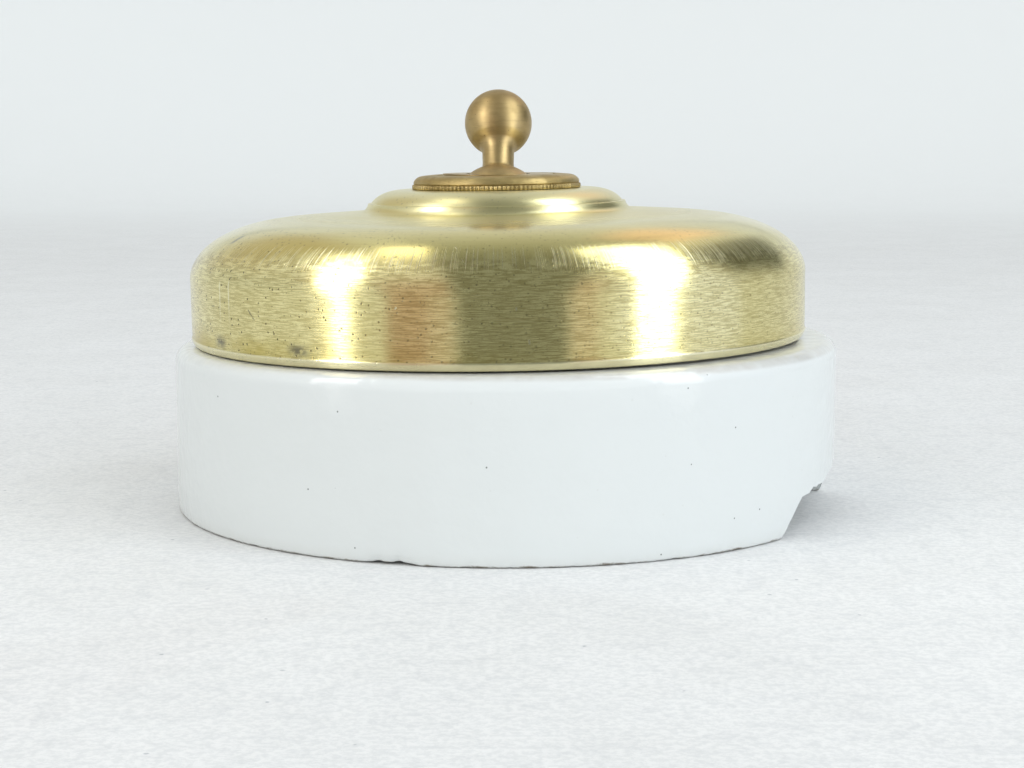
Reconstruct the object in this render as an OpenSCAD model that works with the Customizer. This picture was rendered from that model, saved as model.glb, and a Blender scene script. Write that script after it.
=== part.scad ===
// Surface-mounted round tumbler switch: glazed porcelain base, domed brass cover held by a
// knurled ring, ball-ended dolly, and the tumbler mechanism inside.
// Millimetres. Origin at the centre of the base's back face, +Z out of the wall.
// The dolly swings in the YZ plane and leans toward +Y at rest (contacts open).

/* [Base] */
// Radius of the porcelain base
base_r = 36; // [30:0.5:45]
// Height of the shoulder that the cover's rim rests on
base_h = 18; // [14:0.05:24]
// Slope of the base's top about the Y axis
base_slope = 0.7; // [0:0.05:1.5]
// Radius of the rounded top outer edge
base_edge = 1.6; // [0.5:0.1:4]
// Height of the ceiling of the hollow underside
hollow_h = 6.3; // [4:0.1:8]
// Radius of the hollow underside
hollow_r = 30.6; // [26:0.1:33]
// Height of the inner floor that carries the mechanism
floor_z = 12; // [9:0.1:14]
// Inner radius of the wall around the mechanism
well_r = 28.6; // [24:0.1:30]
// Outer radius of the spigot inside the cover
spigot_r = 31; // [28:0.1:32]
// Height of the top of the spigot
spigot_top = 20.2; // [18:0.1:24]
// Distance between the two wall screws
wall_screw_pitch = 44.45; // [38:0.05:50.8]
// Radius of the wall screw holes
wall_screw_r = 2.3; // [1.8:0.05:3]
// Radius of the two cable holes in the floor
cable_hole_r = 3.2; // [2:0.1:4]
// Direction of the cable break-out around the base, from +X
notch_angle = -16; // [-90:1:90]

/* [Cover] */
// Radius of the brass cover at its rim
cover_r = 33.4; // [28:0.1:40]
// Thickness of the brass sheet
cover_t = 0.8; // [0.4:0.05:1.5]
// Height of the cover's rim at its centre
rim_z = 18.2; // [15:0.05:24]
// Height of the rolled band at the rim
rim_band = 0.75; // [0:0.05:2]
// Height at which the side wall turns into the shoulder
wall_z = 25.2; // [20:0.1:30]
// Width of the shoulder, measured inward
shoulder_w = 11.4; // [4:0.1:15]
// Height of the shoulder
shoulder_h = 6.2; // [3:0.1:9]
// Radius of the small raised platform
platform_r = 14; // [11:0.1:18]
// Height of the foot of the platform
platform_z = 31.9; // [28:0.1:36]
// Rise of the platform
platform_h = 2.35; // [1:0.05:4]
// Lean of the cover and ring about the Y axis
cover_tilt = 0.9; // [0:0.1:2]
// Offset of the cover's centre along X
cover_dx = -0.9; // [-1.5:0.05:1.5]
// Thickness of the insulating lining
liner_t = 0.45; // [0.2:0.05:1]

/* [Locking ring] */
// Radius of the ring
ring_r = 9.2; // [7:0.1:12]
// Height of the whole ring
ring_h = 1.55; // [1:0.05:3]
// Height of the knurled lower band
knurl_h = 0.5; // [0.2:0.05:1]
// Number of knurls
knurls = 120; // [40:1:160]

/* [Dolly] */
// Height of the dolly's pivot
pivot_z = 31.8; // [28:0.1:36]
// Lean of the dolly at each end of its swing
throw = 35; // [15:1:40]
// Radius of the spherical skirt
skirt_r = 5.1; // [4:0.05:6]
// Radius of the dolly's shaft
shaft_r = 1.75; // [1:0.05:3]
// Radius of the ball
ball_r = 3.75; // [2.5:0.05:6]
// Distance from the pivot to the ball's centre
ball_l = 11.6; // [9:0.1:16]
// Radius of the dolly's pin
dolly_pin_r = 0.8; // [0.5:0.05:1.5]

/* [Mechanism] */
// Offset of the mechanism along X
mech_dx = -0.85; // [-1.5:0.05:1.5]
// Outer radius of the threaded neck
neck_r = 6.2; // [5.5:0.05:8]
// Height of the top of the neck
neck_top = 35.85; // [33:0.05:38]
// Thickness of the bridge strip
bridge_t = 1.2; // [0.8:0.05:2]
// Half the width across the bridge's legs
bridge_x = 12.6; // [10:0.1:15]
// Half the depth of the bridge strip
bridge_y = 4.5; // [3:0.1:6]
// Height of the underside of the bridge's top
bridge_z = 28.9; // [26:0.1:30]
// Height of the rocker's pivot
rocker_z = 18.8; // [17:0.1:21]
// Half the swing of the rocker
rocker_throw = 15; // [8:1:20]
// Radius of the rocker's pin
rocker_pin_r = 1.2; // [0.8:0.05:2]
// Half the width of the rocker along its pin
rocker_w = 3.9; // [2:0.1:5]

/* [Contacts] */
// Distance of the terminals from the centre along X
term_x = 19; // [16:0.1:22]
// Distance of the terminals from the centre along Y
term_y = 9; // [7:0.1:12]
// Radius of the terminal pillars
term_r = 3.4; // [2.5:0.1:4.5]
// Height of the top of the terminal pillars
term_top = 20.2; // [18:0.1:22]
// Radius of the hole for the conductor
wire_r = 1.4; // [0.8:0.05:2]
// Half the length of the moving contact
blade_x = 13; // [11:0.1:15]
// Thickness of the moving contact
blade_t = 0.8; // [0.4:0.05:1.5]
// Distance of the bridge's screws from the centre
foot_x = 16; // [14.5:0.1:18]

/* [Hidden] */
$fn = 72;
running = 0.05;
seat_gap = 0.25;
strip_t = 1.2;
ring_z = platform_z + platform_h;
cover_hole_r = 6.6;
ring_hole_r = 6.42;
tilt_z = 27;
tail_cut = 2.9;
tail_r = 1.1;
tail_end = 6.4;
plunger_top = 5.4;
plunger_r = 1.7;
tip_l = 7.9;
tip_r = 1.1;
spring_wire = 0.32;
spring_turns = 2.5;
slot_r = 2.1;
slot_half = 5.3;
arm_low = -3;
blade_y0 = 6.4;
blade_y1 = 11.4;
rivet_y = 8.9;
rivet_x = 2;
rivet_r = 0.8;
block_top = rocker_z + arm_low - blade_t - 0.15;
screw_r = 1.5;

// ---------- helpers ----------

// Points on an elliptical arc in the profile plane
function arc(cx, cz, rx, rz, a0, a1, n) =
    [for (i = [0:n]) [cx + rx * cos(a0 + (a1 - a0) * i / n), cz + rz * sin(a0 + (a1 - a0) * i / n)]];

// A bar lying along X, centred on the YZ plane
module x_rod(r, half) {
    rotate([0, 90, 0])
        cylinder(r = r, h = 2 * half, center = true);
}

// The pair of places left and right of the mechanism
module both_sides(x, y) {
    for (side = [-1, 1])
        translate([mech_dx + side * x, y, 0])
            children();
}

// The frame of the dolly at rest: its own +Z runs from the pivot to the ball
module dolly_frame() {
    translate([mech_dx, 0, pivot_z])
        rotate([-throw, 0, 0])
            children();
}

// The frame of the rocker at rest: its +Y arm is raised
module rocker_frame() {
    translate([mech_dx, 0, rocker_z])
        rotate([rocker_throw, 0, 0])
            children();
}

// The rocker's +Y arm lies level when the contacts are closed
module closed_frame() {
    rocker_frame()
        rotate([rocker_throw, 0, 0])
            children();
}

// The cover, its lining and the ring lean together
module leaning() {
    translate([cover_dx, 0, tilt_z])
        rotate([0, -cover_tilt, 0])
            translate([0, 0, -tilt_z])
                children();
}

// A cheese head with a screwdriver slot, standing on z = 0
module slotted_head(r, h) {
    difference() {
        cylinder(r = r, h = h);
        translate([-r - 1, -0.35, h - 0.7])
            cube([2 * r + 2, 0.7, 2]);
    }
}

// ---------- base ----------

// The level wall and foot of the base
module base_wall_outline() {
    polygon([[0, 0], [base_r - 0.5, 0], [base_r - 0.2, 0.25], [base_r - 0.05, 1], [base_r, 3],
             [base_r, spigot_top + 2], [0, spigot_top + 2]]);
}

// The sloping top of the base, a little wider than the wall
module base_top_outline() {
    polygon(concat(
        [[0, -2], [base_r + 0.05, -2]],
        arc(base_r + 0.05 - base_edge, base_h - base_edge, base_edge, base_edge, 0, 90, 8),
        [[spigot_r, base_h], [spigot_r, spigot_top - 0.6], [spigot_r - 0.6, spigot_top],
         [0, spigot_top]]));
}

// Broken-out cable entry in the lower edge of the wall
module break_out() {
    rotate([0, 0, notch_angle])
        translate([hollow_r - 6, 0, 0])
            rotate([90, 0, 90])
                linear_extrude(height = 20)
                    polygon([[-14.3, -1], [-14.3, 0], [-13.9, 0.5], [-10.7, 3.9], [-9.6, 3.85],
                             [-7.8, 4.2], [-4.4, 4.25], [-2.8, 4.75], [-0.9, 4.95], [2, 5.4],
                             [5, 5.5], [8.5, 4.9], [10, 3.9], [11.6, 3.4], [13.6, 0], [13.6, -1]]);
}

module porcelain_base() {
    color([0.93, 0.95, 0.95])
    difference() {
        intersection() {
            rotate_extrude()
                base_wall_outline();
            translate([0, 0, base_h])
                rotate([0, -base_slope, 0])
                    translate([0, 0, -base_h])
                        rotate_extrude()
                            base_top_outline();
        }
        // hollow underside with a domed ring corner
        translate([0, 0, -1])
            cylinder(r = hollow_r, h = hollow_h + 1);
        // well for the mechanism
        translate([0, 0, floor_z])
            cylinder(r = well_r, h = 20);
        break_out();
        // countersunk wall screw holes
        for (side = [-1, 1])
            translate([0, side * wall_screw_pitch / 2, 0]) {
                cylinder(r = wall_screw_r, h = 20);
                translate([0, 0, floor_z - 2])
                    cylinder(r1 = wall_screw_r, r2 = wall_screw_r + 2.1, h = 2.1);
            }
        // cable holes
        both_sides(term_x, -term_y)
            cylinder(r = cable_hole_r, h = 20);
        // terminal screw holes with recesses for the heads
        both_sides(term_x, term_y) {
            cylinder(r = screw_r + 0.1, h = 20);
            cylinder(r = 3.4, h = hollow_h + 2.5);
        }
        // bridge screw holes with recesses for the nuts
        both_sides(foot_x, 0) {
            cylinder(r = screw_r + 0.1, h = 20);
            cylinder(r = 3.6, h = hollow_h + 2.6);
        }
    }
}

// ---------- cover ----------

// Outline of the cover's outside, or of its inside when t is the sheet thickness
module cover_outline(t) {
    lip = t > 0 ? -1 : 0;
    polygon(concat(
        [[0, rim_z + lip], [cover_r - t - (t > 0 ? 0 : 0.3), rim_z + lip]],
        t > 0 ? [] : [[cover_r - 0.1, rim_z + 0.3], [cover_r, rim_z + rim_band],
                      [cover_r - 0.12, rim_z + rim_band + 0.1]],
        arc(cover_r - shoulder_w, wall_z, shoulder_w - t - (t > 0 ? 0 : 0.12), shoulder_h - t,
            0, 84, 14),
        arc(platform_r + 1.1 - t, platform_z + 1.1 - t, 1.1, 1.1, 265, 190, 5),
        arc(platform_r - 3.6, platform_z, 3.6 - t, platform_h - t, 24, 90, 8),
        [[0, ring_z - t]]));
}

module brass_cover() {
    color([0.83, 0.77, 0.52])
    leaning()
        difference() {
            rotate_extrude()
                cover_outline(0);
            rotate_extrude()
                cover_outline(cover_t);
            translate([0, 0, tilt_z])
                cylinder(r = cover_hole_r, h = 20);
        }
}

module cover_liner() {
    color([0.45, 0.20, 0.14])
    leaning()
        translate([0, 0, rim_z + 0.9])
            difference() {
                cylinder(r = cover_r - cover_t - 0.03, h = 6);
                translate([0, 0, -1])
                    cylinder(r = cover_r - cover_t - liner_t, h = 9);
            }
}

// ---------- locking ring ----------

module locking_ring() {
    color([0.72, 0.58, 0.30])
    leaning()
        translate([0, 0, ring_z])
            difference() {
                union() {
                    linear_extrude(height = knurl_h)
                        polygon([for (i = [0:2 * knurls - 1])
                            (ring_r - (i % 2) * 0.15) * [cos(180 * i / knurls), sin(180 * i / knurls)]]);
                    rotate_extrude()
                        polygon(concat(
                            [[0, 0.1], [ring_r - 0.35, 0.1], [ring_r - 0.35, knurl_h + 0.1]],
                            arc(ring_r - 1.35, knurl_h + 0.1, 1.2, ring_h - knurl_h - 0.2, 0, 80, 6),
                            [[ring_hole_r + 0.2, ring_h], [0, ring_h]]));
                }
                translate([0, 0, -1])
                    cylinder(r = ring_hole_r, h = 5);
            }
}

// ---------- bridge and neck ----------

module bridge_frame() {
    leg_h = bridge_z + bridge_t - floor_z;
    color([0.76, 0.62, 0.34])
    translate([mech_dx, 0, 0])
        difference() {
            union() {
                // top plate with a round seat for the neck
                translate([-bridge_x, -bridge_y, bridge_z])
                    cube([2 * bridge_x, 2 * bridge_y, bridge_t]);
                translate([0, 0, bridge_z])
                    cylinder(r = 8.6, h = bridge_t);
                for (side = [0, 1])
                    mirror([side, 0, 0]) {
                        translate([bridge_x - bridge_t, -bridge_y, floor_z])
                            cube([bridge_t, 2 * bridge_y, leg_h]);
                        translate([bridge_x - bridge_t, -bridge_y, floor_z])
                            cube([foot_x + 3.4 - bridge_x + bridge_t, 2 * bridge_y, bridge_t]);
                    }
            }
            cylinder(r = neck_r - 0.2, h = 60);
            for (side = [-1, 1])
                translate([side * foot_x, 0, 0])
                    cylinder(r = screw_r + 0.1, h = 20);
            translate([0, 0, rocker_z])
                x_rod(rocker_pin_r, bridge_x + 5);
        }
}

module neck_bush() {
    threads = 5;
    pitch = (neck_top - bridge_z - bridge_t - 1.2) / threads;
    thread_z = bridge_z + bridge_t + 1;
    color([0.74, 0.60, 0.32])
    translate([mech_dx, 0, 0])
        difference() {
            rotate_extrude()
                polygon(concat(
                    [[0, bridge_z - 0.4], [neck_r - 0.2, bridge_z - 0.4],
                     [neck_r - 0.2, bridge_z + bridge_t], [8, bridge_z + bridge_t],
                     [8, bridge_z + bridge_t + 0.8], [neck_r - 0.2, bridge_z + bridge_t + 0.8]],
                    [for (i = [0:threads - 1], k = [0:1])
                        [neck_r - 0.2 * (1 - k), thread_z + pitch * (i + 0.5 * k)]],
                    [[neck_r - 0.2, thread_z + pitch * threads], [neck_r - 0.2, neck_top],
                     [0, neck_top]]));
            // bore and ball seat for the dolly's skirt
            translate([0, 0, bridge_z - 2])
                cylinder(r = skirt_r + seat_gap, h = pivot_z - bridge_z + 2);
            translate([0, 0, pivot_z])
                sphere(r = skirt_r + seat_gap);
            // slot that the dolly's shaft moves along
            translate([-slot_r, -slot_half + slot_r, pivot_z + 2])
                cube([2 * slot_r, 2 * (slot_half - slot_r), 10]);
            for (side = [-1, 1])
                translate([0, side * (slot_half - slot_r), pivot_z + 2])
                    cylinder(r = slot_r, h = 10);
            translate([0, 0, pivot_z])
                x_rod(dolly_pin_r, 12);
        }
}

module dolly_pin() {
    color([0.62, 0.62, 0.60])
    translate([mech_dx, 0, pivot_z])
        x_rod(dolly_pin_r, neck_r - 0.25);
}

// ---------- dolly ----------

module dolly() {
    color([0.70, 0.58, 0.36])
    dolly_frame()
        difference() {
            union() {
                sphere(r = skirt_r);
                cylinder(r = shaft_r, h = ball_l);
                // small flares where the shaft meets the skirt and the ball
                translate([0, 0, skirt_r - 0.8])
                    cylinder(r1 = 2.6, r2 = shaft_r, h = 1.3);
                translate([0, 0, ball_l - ball_r - 0.5])
                    cylinder(r1 = shaft_r, r2 = 2.5, h = 1.4);
                translate([0, 0, ball_l])
                    sphere(r = ball_r);
                translate([0, 0, -tail_end])
                    cylinder(r = tail_r, h = tail_end);
            }
            // the skirt is open below, around the tail
            difference() {
                translate([0, 0, -tail_cut - 5])
                    cylinder(r = 8, h = 5);
                translate([0, 0, -tail_end])
                    cylinder(r = tail_r, h = tail_end);
            }
            x_rod(dolly_pin_r + running, 12);
        }
}

// Round wire wound around the tail, from the plunger's top to the skirt's underside
module toggle_spring() {
    steps = 64;
    sides = 8;
    wire = spring_wire / 2;
    coil = tail_r + 0.15 + wire;
    low = -plunger_top + wire + 0.05;
    high = -tail_cut - wire - 0.05;
    points = [for (i = [0:steps], k = [0:sides - 1])
        let (turn = 360 * spring_turns * i / steps,
             side = 360 * k / sides,
             reach = coil + wire * cos(side))
        [reach * cos(turn), reach * sin(turn), low + (high - low) * i / steps + wire * sin(side)]];
    walls = [for (i = [0:steps - 1], k = [0:sides - 1])
        let (a = i * sides + k, b = i * sides + (k + 1) % sides)
        each [[a, b, b + sides], [a, b + sides, a + sides]]];
    first_end = [for (k = [0:sides - 1]) sides - 1 - k];
    last_end = [for (k = [0:sides - 1]) steps * sides + k];
    color([0.55, 0.56, 0.58])
    dolly_frame()
        polyhedron(points = points, faces = concat(walls, [first_end], [last_end]));
}

module spring_plunger() {
    color([0.74, 0.60, 0.32])
    dolly_frame()
        difference() {
            union() {
                translate([0, 0, -tip_l + 0.7])
                    cylinder(r = plunger_r, h = tip_l - plunger_top - 0.7);
                translate([0, 0, -tip_l])
                    cylinder(r1 = tip_r - 0.02, r2 = plunger_r, h = 0.7);
                translate([0, 0, -tip_l])
                    sphere(r = tip_r);
            }
            translate([0, 0, -tip_l + 0.6])
                cylinder(r = tail_r + 0.08, h = 10);
        }
}

// ---------- rocker ----------

module rocker() {
    color([0.16, 0.13, 0.11])
    difference() {
        union() {
            // saddle that the plunger's tip runs in
            rocker_frame()
                rotate([90, 0, 90])
                    translate([0, 0, -rocker_w])
                        linear_extrude(height = 2 * rocker_w)
                            polygon([[-5.4, 7.2], [-4, 7.2], [-2.8, 4.8], [0, 3.6], [2.8, 4.8],
                                     [4, 7.2], [5.4, 7.2], [4.2, 3], [2.4, -0.6], [-2.4, -0.6],
                                     [-4.2, 3]]);
            rocker_frame()
                x_rod(2.7, rocker_w);
            // arm that carries the moving contact
            closed_frame()
                translate([-rocker_w, 0, arm_low])
                    cube([2 * rocker_w, blade_y1 - 0.2, 3.2]);
            // short balance arm
            rocker_frame()
                rotate([-rocker_throw, 0, 0])
                    translate([-rocker_w, -7.6, -2.2])
                        cube([2 * rocker_w, 7.6, 2.8]);
        }
        rocker_frame()
            x_rod(rocker_pin_r + running, 12);
        for (side = [-1, 1])
            closed_frame()
                translate([side * rivet_x, rivet_y, arm_low - 1])
                    cylinder(r = rivet_r, h = 6);
    }
}

module rocker_pin() {
    color([0.62, 0.62, 0.60])
    translate([mech_dx, 0, rocker_z]) {
        x_rod(rocker_pin_r, bridge_x + 0.4);
        // riveted ends
        for (side = [-1, 1])
            translate([side * (bridge_x + 0.35), 0, 0])
                x_rod(rocker_pin_r + 0.5, 0.35);
    }
}

module rocker_spacers() {
    half = (bridge_x - bridge_t - rocker_w - 0.3) / 2;
    color([0.72, 0.58, 0.30])
    for (side = [-1, 1])
        translate([mech_dx + side * (bridge_x - bridge_t - half), 0, rocker_z])
            difference() {
                x_rod(2.1, half);
                x_rod(rocker_pin_r + 0.02, half + 1);
            }
}

module moving_contact() {
    color([0.74, 0.44, 0.28])
    closed_frame()
        difference() {
            translate([-blade_x, blade_y0, arm_low - blade_t])
                cube([2 * blade_x, blade_y1 - blade_y0, blade_t]);
            for (side = [-1, 1])
                translate([side * rivet_x, rivet_y, arm_low - 2])
                    cylinder(r = rivet_r, h = 4);
        }
}

module contact_rivets() {
    color([0.78, 0.64, 0.36])
    for (side = [-1, 1])
        closed_frame()
            translate([side * rivet_x, rivet_y, 0]) {
                translate([0, 0, arm_low - blade_t])
                    cylinder(r = rivet_r, h = 4.1);
                translate([0, 0, arm_low - blade_t - 0.45])
                    cylinder(r1 = 1.1, r2 = 1.4, h = 0.45);
                translate([0, 0, arm_low + 3.2])
                    cylinder(r1 = 1.4, r2 = 1.1, h = 0.45);
            }
}

// ---------- contacts and terminals ----------

module fixed_contact(side) {
    color([0.78, 0.64, 0.36])
    translate([mech_dx, 0, 0])
        mirror([side < 0 ? 1 : 0, 0, 0])
            difference() {
                union() {
                    translate([8.2, term_y - 2.9, floor_z])
                        cube([term_x - 8.2, 5.8, strip_t]);
                    translate([term_x, term_y, floor_z])
                        cylinder(r = term_r + 0.6, h = strip_t);
                    translate([8.2, term_y - 2.4, floor_z + strip_t])
                        cube([blade_x - 8.2, 4.8, block_top - floor_z - strip_t]);
                }
                translate([term_x, term_y, 0])
                    cylinder(r = screw_r + 0.05, h = 20);
            }
}

module fixed_contact_left() {
    fixed_contact(-1);
}

module fixed_contact_right() {
    fixed_contact(1);
}

module terminal(side) {
    foot = floor_z + strip_t;
    color([0.80, 0.66, 0.38])
    translate([mech_dx + side * term_x, term_y, 0])
        difference() {
            translate([0, 0, foot])
                cylinder(r = term_r, h = term_top - foot);
            // hole for the conductor
            translate([0, 0, 16.9])
                rotate([90, 0, 0])
                    cylinder(r = wire_r, h = 20, center = true);
            // threaded holes for the clamp screw above and the fixing screw below
            translate([0, 0, 16.9])
                cylinder(r = 1.25, h = 10);
            cylinder(r = screw_r, h = foot + 1.8);
        }
}

module terminal_left() {
    terminal(-1);
}

module terminal_right() {
    terminal(1);
}

module clamp_screw(side) {
    color([0.74, 0.60, 0.34])
    translate([mech_dx + side * term_x, term_y, 0]) {
        translate([0, 0, 17.9])
            cylinder(r = 1.25, h = term_top - 17.8);
        translate([0, 0, term_top])
            rotate([0, 0, 25 + 40 * side])
                slotted_head(2.1, 1.7);
    }
}

module clamp_screw_left() {
    clamp_screw(-1);
}

module clamp_screw_right() {
    clamp_screw(1);
}

module terminal_fixing_screws() {
    color([0.74, 0.60, 0.34])
    both_sides(term_x, term_y) {
        translate([0, 0, hollow_h + 2.4])
            cylinder(r = screw_r, h = floor_z + strip_t + 1.7 - hollow_h - 2.4);
        translate([0, 0, hollow_h + 2.5])
            rotate([180, 0, 0])
                slotted_head(2.9, 1.6);
    }
}

module bridge_screws() {
    color([0.74, 0.60, 0.34])
    both_sides(foot_x, 0) {
        translate([0, 0, hollow_h + 0.3])
            cylinder(r = screw_r, h = floor_z + bridge_t + 0.6 - hollow_h - 0.3);
        translate([0, 0, floor_z + bridge_t + 0.5])
            rotate([0, 0, 30])
                slotted_head(2.6, 1.7);
    }
}

module bridge_washers() {
    color([0.80, 0.66, 0.40])
    both_sides(foot_x, 0)
        translate([0, 0, floor_z + bridge_t])
            difference() {
                cylinder(r = 3.1, h = 0.5);
                translate([0, 0, -1])
                    cylinder(r = screw_r + 0.1, h = 3);
            }
}

module bridge_nuts() {
    color([0.76, 0.62, 0.36])
    both_sides(foot_x, 0)
        translate([0, 0, hollow_h + 0.6])
            difference() {
                cylinder(r = 3, h = 2, $fn = 6);
                translate([0, 0, -1])
                    cylinder(r = screw_r, h = 4);
            }
}

module sealing_plugs() {
    color([0.12, 0.09, 0.07])
    both_sides(term_x, term_y)
        translate([0, 0, hollow_h + 0.1])
            cylinder(r = 3.4, h = 0.75);
}

// ---------- drawing ----------

porcelain_base();
brass_cover();
cover_liner();
locking_ring();
bridge_frame();
neck_bush();
dolly();
dolly_pin();
toggle_spring();
spring_plunger();
rocker();
rocker_pin();
rocker_spacers();
moving_contact();
contact_rivets();
fixed_contact_left();
fixed_contact_right();
terminal_left();
terminal_right();
clamp_screw_left();
clamp_screw_right();
terminal_fixing_screws();
bridge_screws();
bridge_washers();
bridge_nuts();
sealing_plugs();
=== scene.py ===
import math

import bmesh
import bpy
from mathutils import Matrix, Vector, noise


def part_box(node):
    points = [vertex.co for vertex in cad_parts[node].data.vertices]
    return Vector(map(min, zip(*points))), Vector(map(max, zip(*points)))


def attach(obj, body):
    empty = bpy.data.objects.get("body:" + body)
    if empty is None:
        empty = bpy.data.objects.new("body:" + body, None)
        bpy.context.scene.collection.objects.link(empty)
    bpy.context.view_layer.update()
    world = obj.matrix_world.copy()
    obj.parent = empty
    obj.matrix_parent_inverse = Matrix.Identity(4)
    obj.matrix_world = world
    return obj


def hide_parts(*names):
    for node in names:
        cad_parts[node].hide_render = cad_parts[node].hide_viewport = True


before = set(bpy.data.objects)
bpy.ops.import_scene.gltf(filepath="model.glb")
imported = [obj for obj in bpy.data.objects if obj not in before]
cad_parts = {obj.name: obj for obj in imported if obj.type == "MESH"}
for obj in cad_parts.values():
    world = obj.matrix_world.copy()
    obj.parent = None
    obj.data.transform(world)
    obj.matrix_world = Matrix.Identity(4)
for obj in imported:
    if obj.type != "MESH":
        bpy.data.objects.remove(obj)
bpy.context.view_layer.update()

MM = 0.001

# ---------------------------------------------------------------- sizes

base_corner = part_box("porcelain_base")[1] / MM
BASE_R = base_corner.x
BASE_H = 18.0
BASE_SLOPE = math.tan(math.radians(0.7))
BASE_EDGE = 1.6
SPIGOT_R = 31.0
SPIGOT_TOP = 20.2
HOLLOW_R = 30.6
HOLLOW_H = 6.3
WELL_R = 28.6
FLOOR_Z = 12.0
NOTCH_ANGLE = math.radians(-16)

# holes in the floor of the base
THROUGH = 20
WALL_SCREW_Y = 22.225
WALL_SCREW_R = 2.3
WALL_SCREW_HEAD_R = 4.4
TERMINAL_X = 19
TERMINAL_Y = 9
CABLE_HOLE_R = 3.2
BRIDGE_SCREW_X = 16
SMALL_SCREW_R = 1.6
TERMINAL_RECESS_R = 3.4
TERMINAL_RECESS_TOP = HOLLOW_H + 2.5
NUT_RECESS_R = 3.6
NUT_RECESS_TOP = HOLLOW_H + 2.6

COVER_R = 33.4
COVER_T = 0.8
COVER_TILT = math.radians(0.9)
TILT_PIVOT = Vector((-0.9, 0, 27.0))
RIM_Z = 18.2
WALL_Z = 25.2
SHOULDER_W = 11.4
SHOULDER_H = 6.2
PLATFORM_R = 14.0
PLATFORM_Z = 31.9
PLATFORM_H = 2.35
RING_Z = PLATFORM_Z + PLATFORM_H
RING_R = 9.2
RING_H = 1.55
RING_HOLE_R = 6.42
KNURL_H = 0.5
KNURLS = 120

MECH_X = -0.85
PIVOT_Z = 31.8
THROW = math.radians(35)
SKIRT_R = 5.1
SHAFT_R = 1.75
BALL_R = 3.75
BALL_L = 11.6
TAIL_R = 1.1
TAIL_CUT = 2.9
TAIL_END = 6.4
PIN_HOLE_R = 0.85

# ---------------------------------------------------------------- mesh helpers


def arc(cx, cz, rx, rz, start, end, steps):
    """Points on an elliptical arc of a profile, angles in degrees."""
    points = []
    for i in range(steps + 1):
        a = math.radians(start + (end - start) * i / steps)
        points.append((cx + rx * math.cos(a), cz + rz * math.sin(a)))
    return points


def add_object(name, mesh):
    obj = bpy.data.objects.new(name, mesh)
    bpy.context.scene.collection.objects.link(obj)
    return obj


def finished_mesh(bm, name):
    mesh = bpy.data.meshes.new(name)
    bm.to_mesh(mesh)
    bm.free()
    return mesh


def lathe(name, profile, segments, closed=True, radius_at=None, sharp=35):
    """A solid turned about Z from (radius, height) points in millimetres.

    radius_at(index, radius, angle) may change a point's radius around the turn.
    """
    bm = bmesh.new()
    rings = []
    for index, (r, z) in enumerate(profile):
        if r < 1e-6:
            rings.append([bm.verts.new((0, 0, z * MM))])
            continue
        ring = []
        for k in range(segments):
            a = 2 * math.pi * k / segments
            rr = radius_at(index, r, a) if radius_at else r
            ring.append(bm.verts.new((rr * math.cos(a) * MM, rr * math.sin(a) * MM, z * MM)))
        rings.append(ring)
    pairs = list(zip(rings, rings[1:]))
    if closed:
        pairs.append((rings[-1], rings[0]))
    for low, high in pairs:
        if len(low) == 1 and len(high) == 1:
            continue
        for k in range(segments):
            n = (k + 1) % segments
            quad = [low[k % len(low)], low[n % len(low)], high[n % len(high)], high[k % len(high)]]
            corners = list(dict.fromkeys(quad))
            bm.faces.new(corners)
    bmesh.ops.recalc_face_normals(bm, faces=bm.faces[:])
    mesh = finished_mesh(bm, name)
    mesh.shade_smooth()
    mesh.set_sharp_from_angle(angle=math.radians(sharp))
    return add_object(name, mesh)


def cylinder_cutter(radius, low, high, x=0.0, y=0.0, segments=96, top_radius=None):
    profile = [(0, low), (radius, low), (top_radius or radius, high), (0, high)]
    cutter = lathe("cutter", profile, segments, closed=False)
    cutter.data.transform(Matrix.Translation((x * MM, y * MM, 0)))
    return cutter


def cut(obj, cutters):
    """Takes the cutters out of obj and removes them."""
    for cutter in cutters:
        mod = obj.modifiers.new("cut", "BOOLEAN")
        mod.operation = "DIFFERENCE"
        mod.solver = "EXACT"
        mod.object = cutter
    graph = bpy.context.evaluated_depsgraph_get()
    mesh = bpy.data.meshes.new_from_object(obj.evaluated_get(graph))
    old = obj.data
    obj.modifiers.clear()
    obj.data = mesh
    mesh.name = obj.name
    bpy.data.meshes.remove(old)
    for cutter in cutters:
        bpy.data.objects.remove(cutter)
    mesh.shade_smooth()
    mesh.set_sharp_from_angle(angle=math.radians(35))


def smoothstep(low, high, value):
    t = min(1.0, max(0.0, (value - low) / (high - low)))
    return t * t * (3 - 2 * t)


# ---------------------------------------------------------------- shader helpers


# weight of height against radius where noise runs in circles; not 1, so that a bevel keeps its lines
HEIGHT_SHARE = 1.37


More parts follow.
